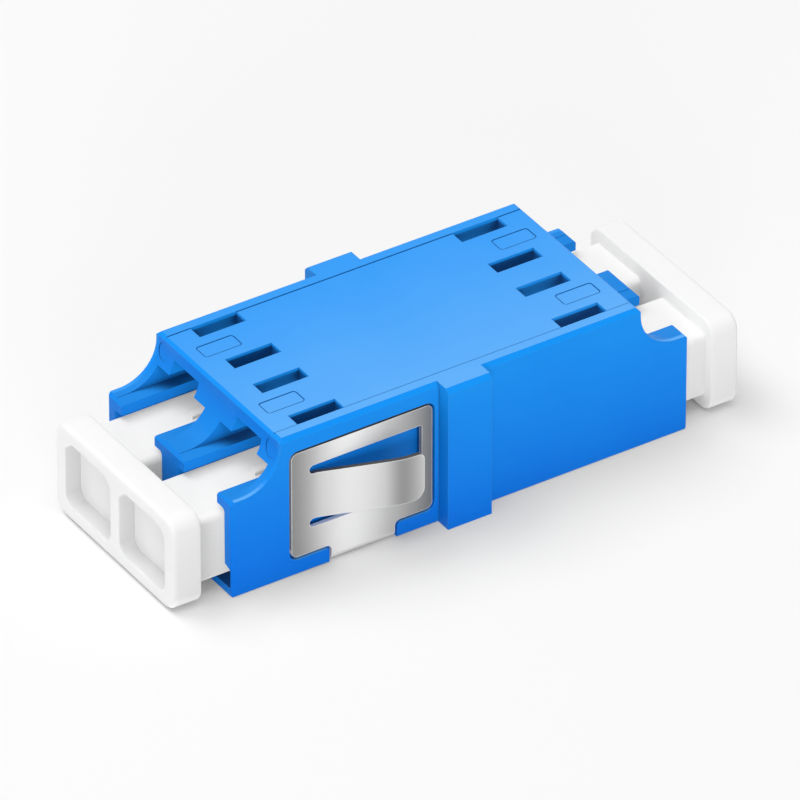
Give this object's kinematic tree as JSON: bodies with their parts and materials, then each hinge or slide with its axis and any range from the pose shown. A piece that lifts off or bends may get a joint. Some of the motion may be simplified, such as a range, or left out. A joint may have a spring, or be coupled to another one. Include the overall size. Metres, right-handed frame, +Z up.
{
  "type": "fibre optic adapter",
  "caption": "Duplex fibre optic adapter with a blue one-piece housing, a sprung steel panel clip, ceramic alignment sleeves and white push-in dust caps.",
  "frame": {"origin": "centre of the underside of the housing", "axes": "+X from the front ports to the rear ports, +Y across the ports to the left, +Z up"},
  "size_m": [0.036, 0.0156, 0.0091],
  "materials": {
    "housing_plastic": "moulded satin blue thermoplastic",
    "clip_steel": "satin stamped stainless spring steel",
    "cap_plastic": "soft white moulded plastic",
    "holder_plastic": "moulded blue thermoplastic",
    "sleeve_ceramic": "ground white zirconia ceramic"
  },
  "bodies": {
    "adapter": {"housing": "housing_plastic", "panel_clip": "clip_steel", "split_sleeve_left": "sleeve_ceramic", "split_sleeve_right": "sleeve_ceramic", "sleeve_holder_front_left": "holder_plastic", "sleeve_holder_rear_left": "holder_plastic", "sleeve_holder_front_right": "holder_plastic", "sleeve_holder_rear_right": "holder_plastic"},
    "front_cap": {"front_dust_cap": "cap_plastic"},
    "rear_cap": {"rear_dust_cap": "cap_plastic"}
  },
  "joints": [
    {"name": "front_cap_pull", "type": "slide", "parent": "adapter", "child": "front_cap", "axis": [-1, 0, 0], "range_m": [0, 0.045]},
    {"name": "rear_cap_pull", "type": "slide", "parent": "adapter", "child": "rear_cap", "axis": [1, 0, 0], "range_m": [0, 0.045]}
  ]
}
